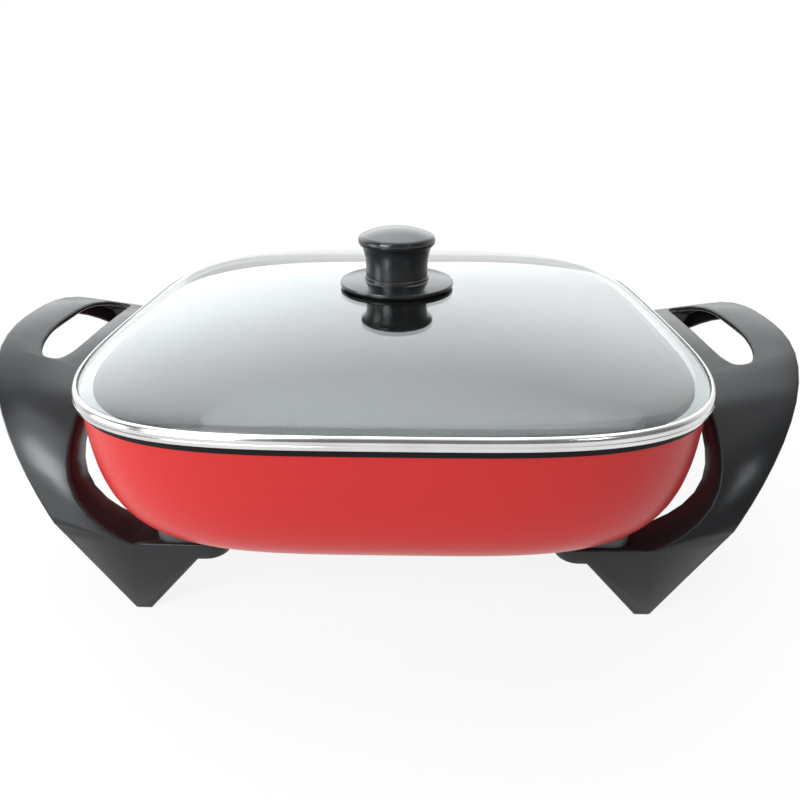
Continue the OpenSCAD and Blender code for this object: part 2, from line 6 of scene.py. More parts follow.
import bmesh
import bpy
from bpy.props import FloatProperty, FloatVectorProperty, IntProperty, PointerProperty
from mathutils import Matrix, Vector

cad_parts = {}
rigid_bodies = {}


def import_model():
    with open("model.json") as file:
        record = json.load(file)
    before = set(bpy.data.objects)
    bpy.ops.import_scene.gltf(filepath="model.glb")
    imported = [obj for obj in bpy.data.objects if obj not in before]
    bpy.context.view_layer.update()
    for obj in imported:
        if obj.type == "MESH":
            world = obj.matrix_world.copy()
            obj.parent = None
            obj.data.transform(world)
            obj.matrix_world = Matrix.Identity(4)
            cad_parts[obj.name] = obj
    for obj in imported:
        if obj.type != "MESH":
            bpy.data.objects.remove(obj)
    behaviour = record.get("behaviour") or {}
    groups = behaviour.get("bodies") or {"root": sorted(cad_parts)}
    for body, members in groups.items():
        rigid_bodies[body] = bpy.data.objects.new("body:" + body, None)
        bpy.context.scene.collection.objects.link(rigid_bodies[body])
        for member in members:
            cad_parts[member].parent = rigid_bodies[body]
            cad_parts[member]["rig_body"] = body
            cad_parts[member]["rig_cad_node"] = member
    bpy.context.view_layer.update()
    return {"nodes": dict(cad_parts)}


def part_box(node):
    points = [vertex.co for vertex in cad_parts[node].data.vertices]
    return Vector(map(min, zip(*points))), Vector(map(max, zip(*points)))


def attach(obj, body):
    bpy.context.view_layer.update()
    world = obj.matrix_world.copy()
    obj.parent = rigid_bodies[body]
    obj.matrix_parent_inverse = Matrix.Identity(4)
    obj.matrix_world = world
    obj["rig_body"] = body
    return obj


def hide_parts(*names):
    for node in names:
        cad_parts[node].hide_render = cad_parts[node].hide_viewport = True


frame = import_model()

bl_info = {
    "name": "Electric Hot Pot",
    "version": (1, 0, 0),
    "blender": (4, 5, 0),
    "location": "View3D > Sidebar > Hot Pot",
    "description": "Dresses a square electric hot pot with its finishes, stage and camera",
    "category": "Object",
}

# Places taken from the frame
PAN_LOW, PAN_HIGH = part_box("pan")
RIM_LOW, RIM_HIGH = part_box("lid_rim")
GLASS_LOW, GLASS_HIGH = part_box("lid_glass")
FLANGE_LOW, FLANGE_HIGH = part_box("knob_flange")
KNOB_LOW, KNOB_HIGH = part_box("knob")
ELEMENT_LOW, ELEMENT_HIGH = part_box("heating_element")
PROBE_LOW, PROBE_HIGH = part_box("probe_well")
GUARD_LOW, GUARD_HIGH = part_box("socket_guard")
SPACER_LOW, SPACER_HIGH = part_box("right_leg_spacers")
PIN_LOW, PIN_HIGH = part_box("terminal_pins")

# Roundings of edges
CAST_EDGE = 0.0006
PAD_EDGE = 0.001
MOULDED_EDGE = 0.0011
SPACER_EDGE = 0.0004
SCREW_EDGE = 0.0005
PIN_EDGE = 0.0003
THIN_EDGE = 0.0002

# Small sizes that pieces share; the first is a tenth of a millimetre
TENTH = 0.0001
FIT_GAP = 0.00015
OVERCUT = 0.001
GRAIN_DEPTH = 0.0002

# Limits: points that count as one, degrees that count as flat, and the slope of a face that looks up
TINY = 1e-6
FLAT_ANGLE = 0.2
FACING_UP = 0.5

# Squareness of a round plan, points round it, and angles down a curved wall from its top to its floor
ROUND = 2.0
ROUND_POINTS = 128
ROD_POINTS = 48
WALL_STEPS = 24
WALL_TURNS = [math.radians(90 * step / WALL_STEPS) for step in range(WALL_STEPS + 1)]


class HotPotSizes(bpy.types.PropertyGroup):
    """Sizes that the frame's boxes don't give."""

    ring_points: IntProperty(name="Ring points", description="Points round a square ring", default=192)
    plan_power: FloatProperty(
        name="Plan power", description="Squareness of the plan: 2 is a circle", default=3.9)
    wall_power: FloatProperty(
        name="Wall power", description="Fullness of the curve up the pan's wall", default=2.9)
    bottom_inset: FloatProperty(
        name="Bottom inset", description="How far the flat underside stays inside the wall",
        default=0.044, unit="LENGTH")
    pan_wall: FloatProperty(
        name="Pan wall", description="Thickness of the pan's wall and floor", default=0.005, unit="LENGTH")
    lip_height: FloatProperty(
        name="Lip height", description="Height of the black lip", default=0.0035, unit="LENGTH")
    lip_overhang: FloatProperty(
        name="Lip overhang", description="How far the lip stands out past the wall",
        default=0.0005, unit="LENGTH")
    rib_wall: FloatProperty(
        name="Rib wall", description="Wall of the rib round the element", default=0.0045, unit="LENGTH")
    rib_drop: FloatProperty(
        name="Rib drop", description="How far the rib reaches below the element",
        default=0.0005, unit="LENGTH")
    bend_radius: FloatProperty(
        name="Bend radius", description="Radius of the element's bends", default=0.018, unit="LENGTH")
    probe_cover: FloatProperty(
        name="Probe cover", description="Metal cast round the probe well", default=0.003, unit="LENGTH")
    block_inset: FloatProperty(
        name="Block inset", description="How far the terminal block stays inside the guard",
        default=0.002, unit="LENGTH")
    block_start: FloatProperty(
        name="Block start", description="Where the upper step of the terminal block begins",
        default=0.130, unit="LENGTH")
    block_step: FloatProperty(
        name="Block step", description="Height of the upper step of the terminal block",
        default=0.0035, unit="LENGTH")
    boss_height: FloatProperty(
        name="Boss height", description="How far the bosses over the spacers reach up into the pan's wall",
        default=0.011, unit="LENGTH")
    pad_half: FloatProperty(
        name="Pad half", description="Half the length of a pad beside a handle", default=0.020, unit="LENGTH")
    pad_low: FloatProperty(name="Pad low", description="Underside of the pads", default=0.1085, unit="LENGTH")
    pad_high: FloatProperty(name="Pad high", description="Top of the pads", default=0.1145, unit="LENGTH")
    sheet: FloatProperty(
        name="Sheet", description="Thickness of the lid's steel band", default=0.0008, unit="LENGTH")
    band_height: FloatProperty(
        name="Band height", description="Height of the lid's band", default=0.006, unit="LENGTH")
    band_lip: FloatProperty(
        name="Band lip", description="Width of the band's lip on the glass", default=0.00225, unit="LENGTH")
    band_turn: FloatProperty(
        name="Band turn", description="Radius of the band's lower edge", default=0.0006, unit="LENGTH")
    band_roll: FloatProperty(
        name="Band roll", description="Width of the band's rolled top edge", default=0.0019, unit="LENGTH")
    roll_height: FloatProperty(
        name="Roll height", description="Height of the band's rolled top edge", default=0.0031, unit="LENGTH")
    band_crease: FloatProperty(
        name="Band crease", description="Depth of the crease under the roll", default=0.0003, unit="LENGTH")
    skirt_gap: FloatProperty(
        name="Skirt gap", description="Gap between the band's skirt and the pan",
        default=0.0008, unit="LENGTH")
    glass_thickness: FloatProperty(
        name="Glass thickness", description="Thickness of the lid's glass", default=0.004, unit="LENGTH")
    glass_bore: FloatProperty(
        name="Glass bore", description="Radius of the hole under the knob", default=0.004, unit="LENGTH")
    crown_margin: FloatProperty(
        name="Crown margin", description="How far the flat under the knob reaches past the flange",
        default=0.002, unit="LENGTH")
    shoulder: FloatProperty(
        name="Shoulder", description="Rise of the glass next to the band", default=0.0035, unit="LENGTH")
    shoulder_power: FloatProperty(
        name="Shoulder power", description="Tightness of the curve next to the band", default=45.0)
    dome: FloatProperty(
        name="Dome", description="Rise of the glass inside the shoulder", default=0.015, unit="LENGTH")
    dome_power: FloatProperty(name="Dome power", description="Fullness of the glass's dome", default=2.2)
    flange_bore: FloatProperty(
        name="Flange bore", description="Radius of the screw's hole in the flange",
        default=0.00255, unit="LENGTH")
    flange_disc: FloatProperty(
        name="Flange disc", description="Thickness of the flange's disc", default=0.003, unit="LENGTH")
    insert_radius: FloatProperty(
        name="Insert radius", description="Radius of the seat of the knob's insert",
        default=0.00465, unit="LENGTH")
    neck_radius: FloatProperty(
        name="Neck radius", description="Radius of the knob's neck at its foot",
        default=0.01825, unit="LENGTH")
    neck_flare: FloatProperty(
        name="Neck flare", description="How much the knob's neck flares on its way up",
        default=0.002, unit="LENGTH")
    cap_edge: FloatProperty(
        name="Cap edge", description="Height of the cap's rounded edge", default=0.007, unit="LENGTH")
    cap_rise: FloatProperty(
        name="Cap rise", description="Rise of the cap's top", default=0.004, unit="LENGTH")
    cap_power: FloatProperty(name="Cap power", description="Fullness of the cap's top", default=2.2)


class HotPotColours(bpy.types.PropertyGroup):
    """Colours of the finishes."""

    enamel: FloatVectorProperty(
        name="Enamel", description="Red of the pan's outside", subtype="COLOR", default=(0.535, 0.020, 0.019))
    coating: FloatVectorProperty(
        name="Coating", description="Black of the pan's lip and inside", subtype="COLOR",
        default=(0.008, 0.008, 0.009))
    plastic: FloatVectorProperty(
        name="Plastic", description="Black of the handles, legs and knob", subtype="COLOR",
        default=(0.014, 0.0148, 0.0162))
    spacer: FloatVectorProperty(
        name="Spacer", description="Grey of the spacers under the pan", subtype="COLOR",
        default=(0.06, 0.06, 0.062))
    band: FloatVectorProperty(
        name="Band", description="Polished steel of the lid's band", subtype="COLOR",
        default=(0.70, 0.695, 0.69))
    glass: FloatVectorProperty(
        name="Glass", description="Tint of the lid's glass", subtype="COLOR", default=(0.94, 0.98, 0.98))
    steel: FloatVectorProperty(
        name="Steel", description="Plain steel of screws and guard", subtype="COLOR",
        default=(0.62, 0.62, 0.63))
    brass: FloatVectorProperty(
        name="Brass", description="Brass of pins and insert", subtype="COLOR", default=(0.70, 0.52, 0.24))
    sheath: FloatVectorProperty(
        name="Sheath", description="Darkened steel of the element", subtype="COLOR",
        default=(0.20, 0.19, 0.18))
    ceramic: FloatVectorProperty(
        name="Ceramic", description="Unglazed ceramic of the beads", subtype="COLOR",
        default=(0.80, 0.76, 0.68))
    silicone: FloatVectorProperty(
        name="Silicone", description="White silicone of the gaskets", subtype="COLOR",
        default=(0.70, 0.70, 0.69))
    paper: FloatVectorProperty(
        name="Paper", description="Pale floor", subtype="COLOR", default=(0.86, 0.86, 0.86))


class HotPotStage(bpy.types.PropertyGroup):
    """Camera and light."""

    lens: FloatProperty(
        name="Lens", description="Focal length in millimetres", default=29.81, unit="CAMERA")
    camera_place: FloatVectorProperty(
        name="Camera place", description="Where the camera stands", subtype="TRANSLATION",
        default=(0.0080, -0.3879, 0.2539))
    camera_turn: FloatVectorProperty(
        name="Camera turn", description="How the camera is turned", subtype="EULER",
        default=(math.radians(64.27), math.radians(-0.185), math.radians(0.949)))
    lamp_colour: FloatVectorProperty(
        name="Lamp colour", description="Cool white of the lamps", subtype="COLOR",
        default=(0.92, 0.975, 1.0))
    key_power: FloatProperty(
        name="Key power", description="Power of the lamp at front left", default=10.0, unit="POWER")
    leg_power: FloatProperty(
        name="Leg power", description="Power of the small lamp over the left leg", default=1.05, unit="POWER")
    left_power: FloatProperty(
        name="Left power", description="Power of the low lamp at the left", default=3.6, unit="POWER")
    side_power: FloatProperty(
        name="Side power", description="Power of the small lamp over the right leg",
        default=0.25, unit="POWER")
    back_power: FloatProperty(
        name="Back power", description="Power of the large lamp behind", default=26.5, unit="POWER")
    top_power: FloatProperty(
        name="Top power", description="Power of the lamp overhead", default=6.2, unit="POWER")
    ambient: FloatProperty(
        name="Ambient", description="Strength of the even light", default=0.23, subtype="FACTOR")
    floor_size: FloatProperty(
        name="Floor size", description="Width of the floor", default=60.0, unit="LENGTH")


def settings():
    """The sizes, colours and stage of this scene."""
    scene = bpy.context.scene
    return scene.hotpot_sizes, scene.hotpot_colours, scene.hotpot_stage


# Modelling


def arc(first, last, step):
    """Angles in radians from the first to the last degree."""
    return [math.radians(angle) for angle in range(first, last + 1, step)]


def deselect():
    """Goes back to object mode with nothing selected."""
    if bpy.context.mode != "OBJECT":
        bpy.ops.object.mode_set(mode="OBJECT")
    bpy.ops.object.select_all(action="DESELECT")


def activate(piece):
    """Makes a piece the only one that operators act on."""
    deselect()
    piece.select_set(True)
    bpy.context.view_layer.objects.active = piece


def move_selected(piece, place):
    """Moves each selected point in edit mode to where place puts it."""
    shape = bmesh.from_edit_mesh(piece.data)
    for point in shape.verts:
        if point.select:
            point.co = place(point.co)
    bmesh.update_edit_mesh(piece.data)


def set_ring(piece, half, height, power):
    """Puts the selected ring on the plan of that half width, height and squareness."""
    def on_plan(point):
        angle = math.atan2(point.y, point.x)
        across = abs(math.cos(angle)) ** power + abs(math.sin(angle)) ** power
        radius = half / across ** (1 / power)
        return radius * math.cos(angle), radius * math.sin(angle), height

    move_selected(piece, on_plan)


def start_disc(name, points, radius, fill):
    """Adds a flat disc or ring and opens it in edit mode, all selected."""
    deselect()
    bpy.ops.mesh.primitive_circle_add(vertices=points, radius=radius, fill_type=fill)
    piece = bpy.context.active_object
    piece.name = piece.data.name = name
    bpy.ops.object.mode_set(mode="EDIT")
    bpy.ops.mesh.select_mode(type="VERT")
    bpy.ops.mesh.select_all(action="SELECT")
    return piece


def close_shape(piece):
    """Turns all faces outwards and goes back to object mode."""
    bpy.ops.mesh.select_all(action="SELECT")
    bpy.ops.mesh.normals_make_consistent(inside=False)
    bpy.ops.object.mode_set(mode="OBJECT")
    return piece


def raise_rings(name, rings, points, tube=False):
    """Extrudes a disc, or a ring that closes on itself, through rows of half width, height and squareness."""
    piece = start_disc(name, points, rings[0][0], "NOTHING" if tube else "NGON")
    set_ring(piece, *rings[0])
    for ring in rings[1:]:
        bpy.ops.mesh.extrude_region_move()
        set_ring(piece, *ring)
    if tube:
        bpy.ops.mesh.select_all(action="DESELECT")
        bpy.ops.mesh.select_non_manifold()
        bpy.ops.mesh.bridge_edge_loops()
    return close_shape(piece)


def turn_rows(name, rows, tube=False):
    """Raises a round piece through rows of radius and height."""
    return raise_rings(name, [(radius, height, ROUND) for radius, height in rows], ROUND_POINTS, tube)


def sweep(name, points, section, stops, height):
    """Extrudes a section along stops of x, y and heading, at one height."""
    piece = start_disc(name, points, 1.0, "NGON")
    move_selected(piece, lambda point: section(math.atan2(point.y, point.x)))
    old_place, old_side = Vector((0, 0, 0)), Vector((1, 0, 0))
    for number, (x, y, heading) in enumerate(stops):
        if number:
            bpy.ops.mesh.extrude_region_move()
        place = Vector((x, y, height))
        side = Vector((math.sin(heading), -math.cos(heading), 0))

        def carry(point):
            reach = point - old_place
            return place + reach.dot(old_side) * side + Vector((0, 0, reach.z))

        move_selected(piece, carry)
        old_place, old_side = place, side
    return close_shape(piece)


def add_block(name, low, high):
    """A block between two corners, with its place in its mesh."""
    deselect()
    middle = (Vector(low) + Vector(high)) / 2
    bpy.ops.mesh.primitive_cube_add(size=1, location=middle, scale=Vector(high) - Vector(low))
    bpy.ops.object.transform_apply(location=True, rotation=True, scale=True)
    piece = bpy.context.active_object
    piece.name = piece.data.name = name
    return piece


def add_rod(name, start, end, radius):
    """A rod between two places."""
    deselect()
    start, end = Vector(start), Vector(end)
    turn = (end - start).to_track_quat("Z", "Y").to_euler()
    bpy.ops.mesh.primitive_cylinder_add(
        vertices=ROD_POINTS, radius=radius, depth=(end - start).length,
        location=(start + end) / 2, rotation=turn)
    bpy.ops.object.transform_apply(location=True, rotation=True, scale=True)
    piece = bpy.context.active_object
    piece.name = piece.data.name = name
    return piece


def combine(piece, tool, operation):
    """Joins a tool to a piece or cuts the piece with it, and takes the tool away."""
    activate(piece)
    change = piece.modifiers.new("combine", "BOOLEAN")
    change.object = tool
    change.operation = operation
    change.solver = "EXACT"
    bpy.ops.object.modifier_apply(modifier=change.name)
    bpy.data.objects.remove(tool, do_unlink=True)


def soften(piece, width, angle=40, clamp=True):
    """Rounds the edges that are sharper than the angle."""
    activate(piece)
    change = piece.modifiers.new("soften", "BEVEL")
    change.width = width
    change.segments = 2
    change.limit_method = "ANGLE"
    change.angle_limit = math.radians(angle)
    change.use_clamp_overlap = clamp
    bpy.ops.object.modifier_apply(modifier=change.name)


def smooth(piece, angle=35):
    """Shades a piece smoothly where faces meet at less than the angle."""
    activate(piece)
    bpy.ops.object.shade_smooth_by_angle(angle=math.radians(angle))


def outward_lean(face):
    """How far a face points away from the upright axis: below 0 it points inwards."""
    return face.center.x * face.normal.x + face.center.y * face.normal.y


def copy_of(node, name):
    """A free copy of a CAD node with its triangles joined up."""
    source = frame["nodes"][node]
    activate(source)
    bpy.ops.object.duplicate()
    piece = bpy.context.active_object
    piece.name = piece.data.name = name
    piece.parent = None
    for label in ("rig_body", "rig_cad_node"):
        del piece[label]
    bpy.ops.object.mode_set(mode="EDIT")
    bpy.ops.mesh.select_all(action="SELECT")
    bpy.ops.mesh.remove_doubles(threshold=TINY)
    bpy.ops.mesh.dissolve_limited(angle_limit=math.radians(FLAT_ANGLE))
    bpy.ops.object.mode_set(mode="OBJECT")
    return piece


def settle(piece, body, finish, nodes):
    """Gives a piece its finish and its body, and hides the nodes that it stands for."""
    deselect()
    piece.data.materials.clear()
    piece.data.materials.append(finish)
    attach(piece, body)
    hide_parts(*nodes)


def dress(node, name, edge, body, finish):
    """Settles a copy of a CAD node with its edges rounded."""
    piece = copy_of(node, name)
    soften(piece, edge)
    smooth(piece)
    settle(piece, body, finish, [node])


# Finishes


def new_group(name, inputs, output):
    """A shader node group with value inputs and one value output."""
    tree = bpy.data.node_groups.new(name, "ShaderNodeTree")
    for label, value in inputs:
        tree.interface.new_socket(label, in_out="INPUT", socket_type="NodeSocketFloat").default_value = value
    tree.interface.new_socket(output, in_out="OUTPUT", socket_type="NodeSocketFloat")
    return tree, tree.nodes.new("NodeGroupInput"), tree.nodes.new("NodeGroupOutput")


def mottle_group():
    """Soft patches between two values."""
    if "Mottle" in bpy.data.node_groups:
        return bpy.data.node_groups["Mottle"]
    tree, entry, leave = new_group("Mottle", (("Scale", 40.0), ("Low", 0.0), ("High", 1.0)), "Value")
    place = tree.nodes.new("ShaderNodeTexCoord")
    noise = tree.nodes.new("ShaderNodeTexNoise")
    noise.inputs["Detail"].default_value = 4.0
    spread = tree.nodes.new("ShaderNodeMapRange")
    spread.inputs["From Min"].default_value = 0.3
    spread.inputs["From Max"].default_value = 0.7
    link = tree.links.new
    link(place.outputs["Object"], noise.inputs["Vector"])
    link(entry.outputs["Scale"], noise.inputs["Scale"])
    link(noise.outputs["Fac"], spread.inputs["Value"])
    link(entry.outputs["Low"], spread.inputs["To Min"])
    link(entry.outputs["High"], spread.inputs["To Max"])
    link(spread.outputs["Result"], leave.inputs["Value"])
    return tree


def speck_group():
    """Small scattered specks."""
    if "Specks" in bpy.data.node_groups:
        return bpy.data.node_groups["Specks"]
    steepness = 6.0
    tree, entry, leave = new_group("Specks", (("Scale", 900.0), ("Size", 0.25)), "Mask")
    place = tree.nodes.new("ShaderNodeTexCoord")
    cells = tree.nodes.new("ShaderNodeTexVoronoi")
    edge = tree.nodes.new("ShaderNodeMath")
    edge.operation = "SUBTRACT"
    sharp = tree.nodes.new("ShaderNodeMath")
    sharp.operation = "MULTIPLY"
    sharp.use_clamp = True
    sharp.inputs[1].default_value = steepness
    link = tree.links.new
    link(place.outputs["Object"], cells.inputs["Vector"])
    link(entry.outputs["Scale"], cells.inputs["Scale"])
    link(entry.outputs["Size"], edge.inputs[0])
    link(cells.outputs["Distance"], edge.inputs[1])
    link(edge.outputs["Value"], sharp.inputs[0])
    link(sharp.outputs["Value"], leave.inputs["Mask"])
    return tree


def start_finish(name):
    """A new material with its shader, ready for nodes."""
    finish = bpy.data.materials.new(name)
    finish.use_nodes = True
    return finish, finish.node_tree.nodes["Principled BSDF"]


def place_group(finish, tree, **values):
    """Puts a node group in a material with its own values."""
    node = finish.node_tree.nodes.new("ShaderNodeGroup")
    node.node_tree = tree
    for label, value in values.items():
        node.inputs[label].default_value = value
    return node


def mottle(finish, scale, low=0.0, high=1.0):
    """Soft patches in a material, between two values."""
    return place_group(finish, mottle_group(), Scale=scale, Low=low, High=high).outputs["Value"]


def add_bump(finish, shader, scale, strength):
    """Gives the shader's normal a grain of that scale."""
    bump = finish.node_tree.nodes.new("ShaderNodeBump")
    bump.inputs["Strength"].default_value = strength
    bump.inputs["Distance"].default_value = GRAIN_DEPTH
    finish.node_tree.links.new(mottle(finish, scale), bump.inputs["Height"])
    finish.node_tree.links.new(bump.outputs["Normal"], shader.inputs["Normal"])


def add_roughness(finish, shader, scale, low, high):
    """Gives the shader an uneven roughness."""
    finish.node_tree.links.new(mottle(finish, scale, low, high), shader.inputs["Roughness"])


def two_tone(finish, shader, mask, colour, other):
    """Colours the shader with two tones that a mask mixes."""
    mix = finish.node_tree.nodes.new("ShaderNodeMix")
    mix.data_type = "RGBA"
    mix.inputs["A"].default_value = (*colour, 1)
    mix.inputs["B"].default_value = (*other, 1)
    finish.node_tree.links.new(mask, mix.inputs["Factor"])
    finish.node_tree.links.new(mix.outputs["Result"], shader.inputs["Base Color"])


def shade_of(colour, factor):
    """A colour made darker or lighter."""
    return tuple(part * factor for part in colour)


def plain_finish(name, colour, metallic, rough, grain, patches, bump, gloss=0.5):
    """A finish with patchy colour, uneven roughness and a fine grain; made once."""
    if name in bpy.data.materials:
        return bpy.data.materials[name]
    darker, lighter, finer = 0.88, 1.12, 2.3
    finish, shader = start_finish(name)
    shader.inputs["Metallic"].default_value = metallic
    shader.inputs["Specular IOR Level"].default_value = gloss
    two_tone(finish, shader, mottle(finish, patches), shade_of(colour, darker), shade_of(colour, lighter))
    add_roughness(finish, shader, patches * finer, *rough)
    add_bump(finish, shader, grain, bump)
    return finish


def enamel_finish(colour):
    """Red paint with fine darker specks and a slight orange peel."""
    if "red_enamel" in bpy.data.materials:
        return bpy.data.materials["red_enamel"]
    finish, shader = start_finish("red_enamel")
    shader.inputs["Specular IOR Level"].default_value = 0.25
    specks = place_group(finish, speck_group(), Scale=1100.0, Size=0.30)
    two_tone(finish, shader, specks.outputs["Mask"], colour, shade_of(colour, factor=0.93))
    add_roughness(finish, shader, scale=9.0, low=0.27, high=0.32)
    add_bump(finish, shader, scale=700.0, strength=0.05)
    return finish


def coating_finish(colour):
    """Black non-stick coating with pale specks."""
    if "black_coating" in bpy.data.materials:
        return bpy.data.materials["black_coating"]
    finish, shader = start_finish("black_coating")
    shader.inputs["Specular IOR Level"].default_value = 0.10
    specks = place_group(finish, speck_group(), Scale=420.0, Size=0.16)
    two_tone(finish, shader, specks.outputs["Mask"], colour, shade_of(colour, factor=4.0))
    add_roughness(finish, shader, scale=80.0, low=0.40, high=0.50)
    add_bump(finish, shader, scale=900.0, strength=0.15)
    return finish


def glass_finish(colour):
    """Clear glass with a faint uneven tint, smears and ripple."""
    if "clear_glass" in bpy.data.materials:
        return bpy.data.materials["clear_glass"]
    finish, shader = start_finish("clear_glass")
    shader.inputs["Transmission Weight"].default_value = 1.0
    shader.inputs["IOR"].default_value = 1.5
    two_tone(finish, shader, mottle(finish, scale=6.0), colour, shade_of(colour, factor=0.99))
    add_roughness(finish, shader, scale=14.0, low=0.0, high=0.02)
    add_bump(finish, shader, scale=12.0, strength=0.02)
    return finish


def plastic_finish(colour):
    """Satin black of the mouldings."""
    return plain_finish("moulded_black", colour, metallic=0.0, rough=(0.19, 0.25),
                        grain=1500.0, patches=30.0, bump=0.04, gloss=0.36)


def gloss_finish(colour):
    """Glossier black of the knob."""
    return plain_finish("gloss_plastic", colour, metallic=0.0, rough=(0.16, 0.22),
                        grain=1500.0, patches=30.0, bump=0.03, gloss=0.6)


def steel_finish(colour):
    """Plain steel of screws, washers, guard and probe well."""
    return plain_finish("plain_steel", colour, metallic=1.0, rough=(0.26, 0.36),
                        grain=1200.0, patches=120.0, bump=0.05)


def brass_finish(colour):
    """Plain brass of pins, earth strip and insert."""
    return plain_finish("plain_brass", colour, metallic=1.0, rough=(0.24, 0.34),
                        grain=1200.0, patches=150.0, bump=0.05)


# Pieces


def element_stops():
    """Stops along the element from one terminal to the other."""
    sizes = settings()[0]
    bend_steps, loop_steps = 12, 120
    half = (ELEMENT_HIGH.z - ELEMENT_LOW.z) / 2
    loop = -ELEMENT_LOW.x - half
    bend = sizes.bend_radius
    pin_y = PIN_HIGH.y - (PIN_HIGH.z - PIN_LOW.z) / 2
    bend_y = pin_y + bend
    bend_x = math.sqrt((loop + bend) ** 2 - bend_y ** 2)
    angle = math.atan2(bend_y, bend_x)
    quarter = math.pi / 2
    stops = [(ELEMENT_HIGH.x, pin_y, math.pi)]
    for step in range(bend_steps + 1):
        turn = 3 * quarter - (quarter - angle) * step / bend_steps
        stops.append((bend_x + bend * math.cos(turn), bend_y + bend * math.sin(turn), turn - quarter))
    for step in range(1, loop_steps):
        turn = angle + (2 * math.pi - 2 * angle) * step / loop_steps
        stops.append((loop * math.cos(turn), loop * math.sin(turn), turn + quarter))
    for step in range(bend_steps + 1):
        turn = 2 * quarter - angle - (quarter - angle) * step / bend_steps
        stops.append((bend_x + bend * math.cos(turn), -bend_y + bend * math.sin(turn), turn - quarter))
    stops.append((ELEMENT_HIGH.x, -pin_y, 0.0))
    return stops


def wall_ring(angle, low, high, flat, wall):
    """One ring of the pan's curved wall: 90 degrees is at the floor, 0 at the top."""
    sizes = settings()[0]
    fullness = 2 / sizes.wall_power
    return (flat + (wall - flat) * math.cos(angle) ** fullness,
            high - (high - low) * math.sin(angle) ** fullness, sizes.plan_power)


class HOTPOT_OT_pan(bpy.types.Operator):
    """Draws the pan as one shell from its underside up to the lip and down to its floor"""

    bl_idname = "hotpot.pan"
    bl_label = "Pan"

    def execute(self, context):
        sizes, colours, _ = settings()
        plan, round_off = sizes.plan_power, 4 * TENTH
        top, under = PAN_HIGH.z, SPACER_HIGH.z
        lip = PAN_HIGH.y
        wall, shoulder = lip - sizes.lip_overhang, top - sizes.lip_height
        flat = wall - sizes.bottom_inset
        mouth, floor = wall - sizes.pan_wall, under + sizes.pan_wall
        rings = [wall_ring(turn, under, shoulder, flat, wall) for turn in reversed(WALL_TURNS)]
        rings += [
            (lip - round_off, shoulder, plan), (lip, shoulder + round_off, plan),
            (lip, top - round_off, plan), (lip - round_off, top, plan),
            (mouth + round_off, top, plan),
        ]
        rings += [wall_ring(turn, floor, top, flat - sizes.pan_wall / 2, mouth) for turn in WALL_TURNS]
        pan = raise_rings("pan_shell", rings, sizes.ring_points)
        smooth(pan, angle=40)
        settle(pan, "base", enamel_finish(colours.enamel), ["pan"])
        pan.data.materials.append(coating_finish(colours.coating))
        for face in pan.data.polygons:
            inside = face.normal.z > FACING_UP or outward_lean(face) < -TINY
            if inside or face.center.z > shoulder:
                face.material_index = 1
        return {"FINISHED"}


